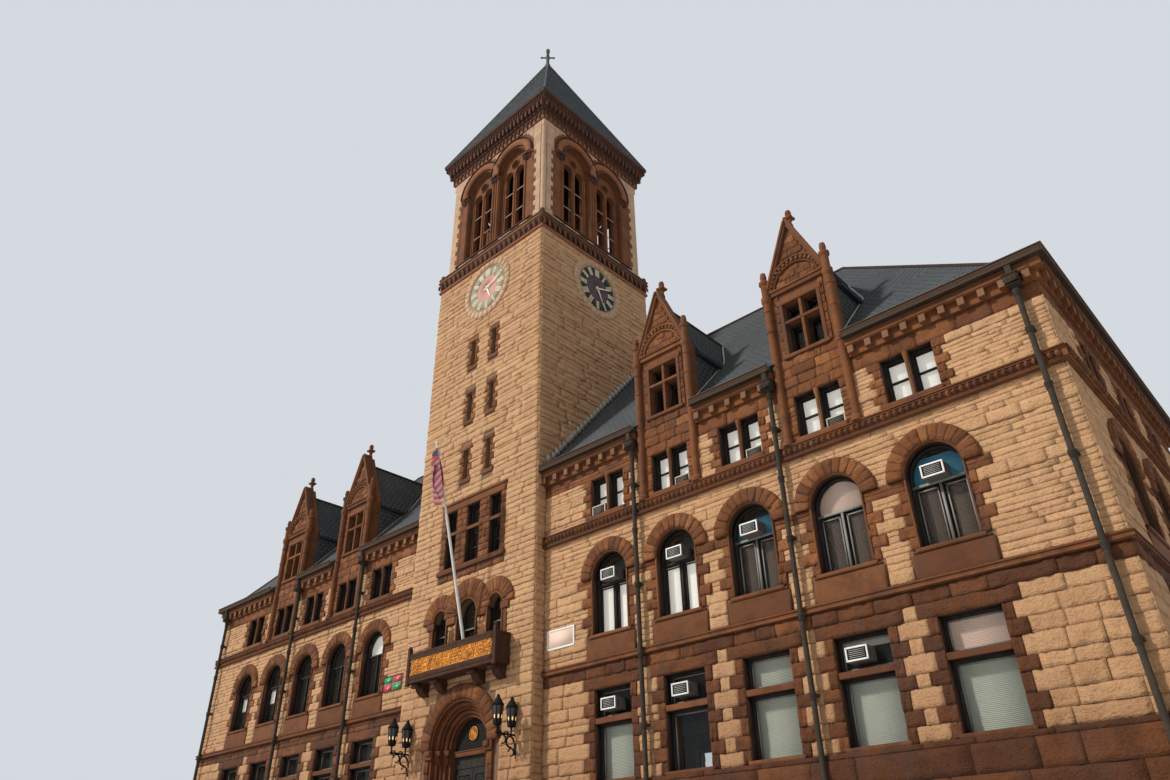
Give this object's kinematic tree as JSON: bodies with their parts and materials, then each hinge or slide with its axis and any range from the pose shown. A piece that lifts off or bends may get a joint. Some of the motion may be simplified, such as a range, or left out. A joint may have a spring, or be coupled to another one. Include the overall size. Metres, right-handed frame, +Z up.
{
  "type": "town hall building, 1:2 scale model",
  "caption": "Stone town hall with a central clock tower, open belfry, pyramid roof, gabled dormers and arched windows, as a half-size model.",
  "frame": {"origin": "at ground level on the centre line of the tower, in the plane of the wings' front wall face", "axes": "+X to the right along the front as seen from the street, +Y into the building, +Z up"},
  "size_m": [22.99, 9.47, 23.98],
  "materials": {
    "buff_stone": "rock-faced sandstone ashlar",
    "brown_stone": "reddish brown sandstone",
    "floor_timber": "plain boards on beams",
    "slate": "dark blue-grey slate",
    "gutter_copper": "brown painted copper",
    "pipe_paint": "grey-brown weathered paint",
    "window_paint": "dark grey-brown paint",
    "window_glass": "dark glass",
    "dark_panel": "dark paint",
    "gilding": "gilded",
    "pole_paint": "off-white paint",
    "flag_cloth": "striped bunting",
    "black_iron": "black paint",
    "clock_face": "stone ring round a dark dial",
    "board_paint": "painted board",
    "cooler_case": "white enamel"
  },
  "bodies": {
    "building": {"entry_steps": "buff_stone", "left_front_wall": "buff_stone", "right_front_wall": "buff_stone", "left_end_wall": "buff_stone", "right_end_wall": "buff_stone", "back_wall": "buff_stone", "entry_piers": "buff_stone", "entry_spandrel": "buff_stone", "tower_front_wall": "buff_stone", "tower_side_walls": "buff_stone", "tower_back_wall": "buff_stone", "belfry_piers": "buff_stone", "plinth": "brown_stone", "belfry_walls": "brown_stone", "belfry_tracery": "brown_stone", "belfry_sill_course": "brown_stone", "tower_cornice": "brown_stone", "finial": "brown_stone", "dormer_fronts": "brown_stone", "sill_string_course": "brown_stone", "upper_string_course": "brown_stone", "main_cornice": "brown_stone", "window_arches": "brown_stone", "entry_arch": "brown_stone", "balcony": "brown_stone", "floors": "floor_timber", "tower_roof": "slate", "front_roof_slopes": "slate", "back_roof_slope": "slate", "end_roof_slopes": "slate", "dormer_roofs": "slate", "gutters": "gutter_copper", "downspouts": "pipe_paint", "first_floor_window_frames": "window_paint", "second_floor_window_frames": "window_paint", "third_floor_window_frames": "window_paint", "upper_window_frames": "window_paint", "door_frame": "window_paint", "window_glass": "window_glass", "tympanum": "dark_panel", "balcony_panel": "gilding", "flagpole": "pole_paint", "flag": "flag_cloth", "wall_lanterns": "black_iron", "clock_dials": "clock_face", "wall_boards": "board_paint", "air_conditioners": "cooler_case"},
    "left_door": {"left_door": "window_paint"},
    "right_door": {"right_door": "window_paint"},
    "front_minute_hand": {"front_minute_hand": "gilding"},
    "front_hour_hand": {"front_hour_hand": "gilding"},
    "right_minute_hand": {"right_minute_hand": "gilding"},
    "right_hour_hand": {"right_hour_hand": "gilding"}
  },
  "joints": [
    {"name": "right_door_hinge", "type": "hinge", "parent": "building", "child": "right_door", "pos_m": [0.466, 0.069, 0.8], "axis": [0, 0, 1], "range_deg": [0, 90]},
    {"name": "left_door_hinge", "type": "hinge", "parent": "building", "child": "left_door", "pos_m": [-0.466, 0.069, 0.8], "axis": [0, 0, -1], "range_deg": [0, 90]},
    {"name": "front_minute_turn", "type": "hinge", "parent": "building", "child": "front_minute_hand", "pos_m": [0, -0.245, 13.05], "axis": [0, 1, 0], "continuous": true},
    {"name": "front_hour_turn", "type": "hinge", "parent": "building", "child": "front_hour_hand", "pos_m": [0, -0.245, 13.05], "axis": [0, 1, 0], "continuous": true},
    {"name": "right_minute_turn", "type": "hinge", "parent": "building", "child": "right_minute_hand", "pos_m": [1.9, 1.655, 13.05], "axis": [-1, 0, 0], "continuous": true},
    {"name": "right_hour_turn", "type": "hinge", "parent": "building", "child": "right_hour_hand", "pos_m": [1.9, 1.655, 13.05], "axis": [-1, 0, 0], "continuous": true}
  ],
  "couplings": [
    {"joint": "front_hour_turn", "follows": "front_minute_turn", "ratio": 0.083333},
    {"joint": "right_hour_turn", "follows": "right_minute_turn", "ratio": 0.083333}
  ]
}
